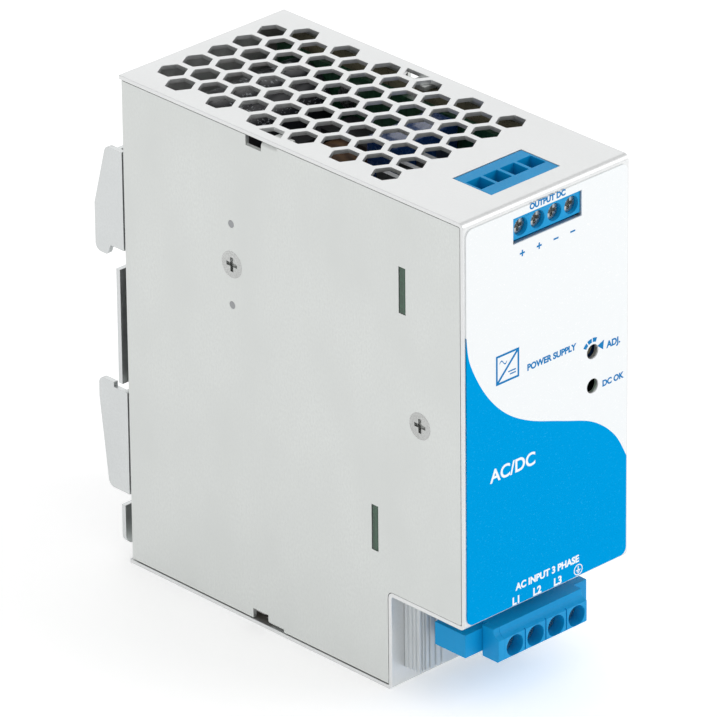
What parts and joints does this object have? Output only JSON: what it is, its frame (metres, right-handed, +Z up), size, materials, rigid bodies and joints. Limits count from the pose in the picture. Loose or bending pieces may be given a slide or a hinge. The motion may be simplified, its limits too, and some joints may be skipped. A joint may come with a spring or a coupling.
{
  "type": "din rail power supply",
  "caption": "Narrow metal-cased DC power supply with honeycomb vents, screw terminals at front, roof and lower notch, and a sprung clip for a 35 mm rail.",
  "frame": {"origin": "middle of the overall box, at the foot of the case", "axes": "+X to the right seen from the front, +Y towards the rail, +Z up"},
  "size_m": [0.05, 0.118, 0.121],
  "materials": {
    "cover_metal": "bare sheet, satin",
    "panel_metal": "bare sheet, fine rolled grain",
    "label_film": "printed overlay, white over blue",
    "screw_zinc": "bright zinc",
    "clip_metal": "satin",
    "spring_wire": "drawn wire",
    "terminal_blue": "moulded",
    "cage_metal": "nickel plated",
    "pin_metal": "tin plated",
    "shroud_white": "translucent moulding",
    "film_clear": "insulating film",
    "board_green": "solder mask on glass laminate",
    "heatsink_metal": "mill finish",
    "ferrite_dark": "sintered",
    "bobbin_black": "moulded",
    "tape_brown": "adhesive tape over copper",
    "copper_wire": "enamelled copper",
    "sleeve_dark": "shrink sleeve over an aluminium can",
    "film_blue": "dipped",
    "box_yellow": "moulded box",
    "package_black": "moulded epoxy",
    "fuse_ceramic": "glazed",
    "varistor_blue": "dipped",
    "trimmer_blue": "moulded",
    "trimmer_cream": "moulded",
    "lamp_green": "tinted clear lens"
  },
  "bodies": {
    "case": {"cover": "cover_metal", "chassis": "panel_metal", "front_label": "label_film", "housing_screws": "screw_zinc", "din_bracket": "clip_metal", "din_bracket_screws": "screw_zinc", "latch_spring": "spring_wire", "output_terminal_body": "terminal_blue", "input_terminal_body": "terminal_blue", "input_end_plate": "terminal_blue", "output_pins": "pin_metal", "input_pins": "pin_metal", "terminal_shroud": "shroud_white", "insulation_sheet": "film_clear", "main_board": "board_green", "output_board": "board_green", "input_board": "board_green", "board_spacers": "pin_metal", "board_screws": "screw_zinc", "primary_heatsink": "heatsink_metal", "secondary_heatsink": "heatsink_metal", "transformer_core": "ferrite_dark", "transformer_bobbin": "bobbin_black", "transformer_winding": "tape_brown", "bulk_capacitor_1": "sleeve_dark", "bulk_capacitor_2": "sleeve_dark", "bulk_capacitor_3": "sleeve_dark", "output_capacitors": "sleeve_dark", "film_capacitors": "film_blue", "suppression_capacitors": "box_yellow", "choke_core": "ferrite_dark", "choke_winding": "copper_wire", "inductor_core": "ferrite_dark", "inductor_winding": "copper_wire", "power_transistors": "package_black", "output_diodes": "package_black", "bridge_rectifier": "package_black", "control_chips": "package_black", "fuses": "fuse_ceramic", "varistors": "varistor_blue", "trimmer_body": "trimmer_blue", "status_lamp": "lamp_green"},
    "latch": {"din_latch": "clip_metal"},
    "trimmer": {"trimmer_rotor": "trimmer_cream"},
    "output_screw_1": {"output_screw_1": "screw_zinc"},
    "output_cage_1": {"output_cage_1": "cage_metal"},
    "output_screw_2": {"output_screw_2": "screw_zinc"},
    "output_cage_2": {"output_cage_2": "cage_metal"},
    "output_screw_3": {"output_screw_3": "screw_zinc"},
    "output_cage_3": {"output_cage_3": "cage_metal"},
    "output_screw_4": {"output_screw_4": "screw_zinc"},
    "output_cage_4": {"output_cage_4": "cage_metal"},
    "input_screw_1": {"input_screw_1": "screw_zinc"},
    "input_cage_1": {"input_cage_1": "cage_metal"},
    "input_screw_2": {"input_screw_2": "screw_zinc"},
    "input_cage_2": {"input_cage_2": "cage_metal"},
    "input_screw_3": {"input_screw_3": "screw_zinc"},
    "input_cage_3": {"input_cage_3": "cage_metal"},
    "input_screw_4": {"input_screw_4": "screw_zinc"},
    "input_cage_4": {"input_cage_4": "cage_metal"}
  },
  "joints": [
    {"name": "latch_slide", "type": "slide", "parent": "case", "child": "latch", "axis": [0, 0, -1], "range_m": [0, 0.003], "stiffness_N_per_m": 600, "springref_m": -0.005, "deforming": ["latch_spring"]},
    {"name": "trimmer_turn", "type": "hinge", "parent": "case", "child": "trimmer", "pos_m": [0.0138, -0.05477, 0.0776], "axis": [0, 1, 0], "range_deg": [-135, 135]},
    {"name": "output_screw_1_turn", "type": "hinge", "parent": "case", "child": "output_screw_1", "pos_m": [-0.00762, -0.05378, 0.1147], "axis": [0, 1, 0], "range_deg": [0, 2160.01]},
    {"name": "output_cage_1_slide", "type": "slide", "parent": "case", "child": "output_cage_1", "axis": [0, -1, 0], "range_m": [0, 0.003]},
    {"name": "output_screw_2_turn", "type": "hinge", "parent": "case", "child": "output_screw_2", "pos_m": [-0.00254, -0.05378, 0.1147], "axis": [0, 1, 0], "range_deg": [0, 2160.01]},
    {"name": "output_cage_2_slide", "type": "slide", "parent": "case", "child": "output_cage_2", "axis": [0, -1, 0], "range_m": [0, 0.003]},
    {"name": "output_screw_3_turn", "type": "hinge", "parent": "case", "child": "output_screw_3", "pos_m": [0.00254, -0.05378, 0.1147], "axis": [0, 1, 0], "range_deg": [0, 2160.01]},
    {"name": "output_cage_3_slide", "type": "slide", "parent": "case", "child": "output_cage_3", "axis": [0, -1, 0], "range_m": [0, 0.003]},
    {"name": "output_screw_4_turn", "type": "hinge", "parent": "case", "child": "output_screw_4", "pos_m": [0.00762, -0.05378, 0.1147], "axis": [0, 1, 0], "range_deg": [0, 2160.01]},
    {"name": "output_cage_4_slide", "type": "slide", "parent": "case", "child": "output_cage_4", "axis": [0, -1, 0], "range_m": [0, 0.003]},
    {"name": "input_screw_1_turn", "type": "hinge", "parent": "case", "child": "input_screw_1", "pos_m": [-0.00953, -0.05378, 0.0142], "axis": [0, 1, 0], "range_deg": [0, 2160.01]},
    {"name": "input_cage_1_slide", "type": "slide", "parent": "case", "child": "input_cage_1", "axis": [0, -1, 0], "range_m": [0, 0.003]},
    {"name": "input_screw_2_turn", "type": "hinge", "parent": "case", "child": "input_screw_2", "pos_m": [-0.00317, -0.05378, 0.0142], "axis": [0, 1, 0], "range_deg": [0, 2160.01]},
    {"name": "input_cage_2_slide", "type": "slide", "parent": "case", "child": "input_cage_2", "axis": [0, -1, 0], "range_m": [0, 0.003]},
    {"name": "input_screw_3_turn", "type": "hinge", "parent": "case", "child": "input_screw_3", "pos_m": [0.00317, -0.05378, 0.0142], "axis": [0, 1, 0], "range_deg": [0, 2160.01]},
    {"name": "input_cage_3_slide", "type": "slide", "parent": "case", "child": "input_cage_3", "axis": [0, -1, 0], "range_m": [0, 0.003]},
    {"name": "input_screw_4_turn", "type": "hinge", "parent": "case", "child": "input_screw_4", "pos_m": [0.00953, -0.05378, 0.0142], "axis": [0, 1, 0], "range_deg": [0, 2160.01]},
    {"name": "input_cage_4_slide", "type": "slide", "parent": "case", "child": "input_cage_4", "axis": [0, -1, 0], "range_m": [0, 0.003]}
  ],
  "couplings": [
    {"joint": "output_screw_1_turn", "follows": "output_cage_1_slide", "rad_per_m": 12566},
    {"joint": "output_screw_2_turn", "follows": "output_cage_2_slide", "rad_per_m": 12566},
    {"joint": "output_screw_3_turn", "follows": "output_cage_3_slide", "rad_per_m": 12566},
    {"joint": "output_screw_4_turn", "follows": "output_cage_4_slide", "rad_per_m": 12566},
    {"joint": "input_screw_1_turn", "follows": "input_cage_1_slide", "rad_per_m": 12566},
    {"joint": "input_screw_2_turn", "follows": "input_cage_2_slide", "rad_per_m": 12566},
    {"joint": "input_screw_3_turn", "follows": "input_cage_3_slide", "rad_per_m": 12566},
    {"joint": "input_screw_4_turn", "follows": "input_cage_4_slide", "rad_per_m": 12566}
  ]
}
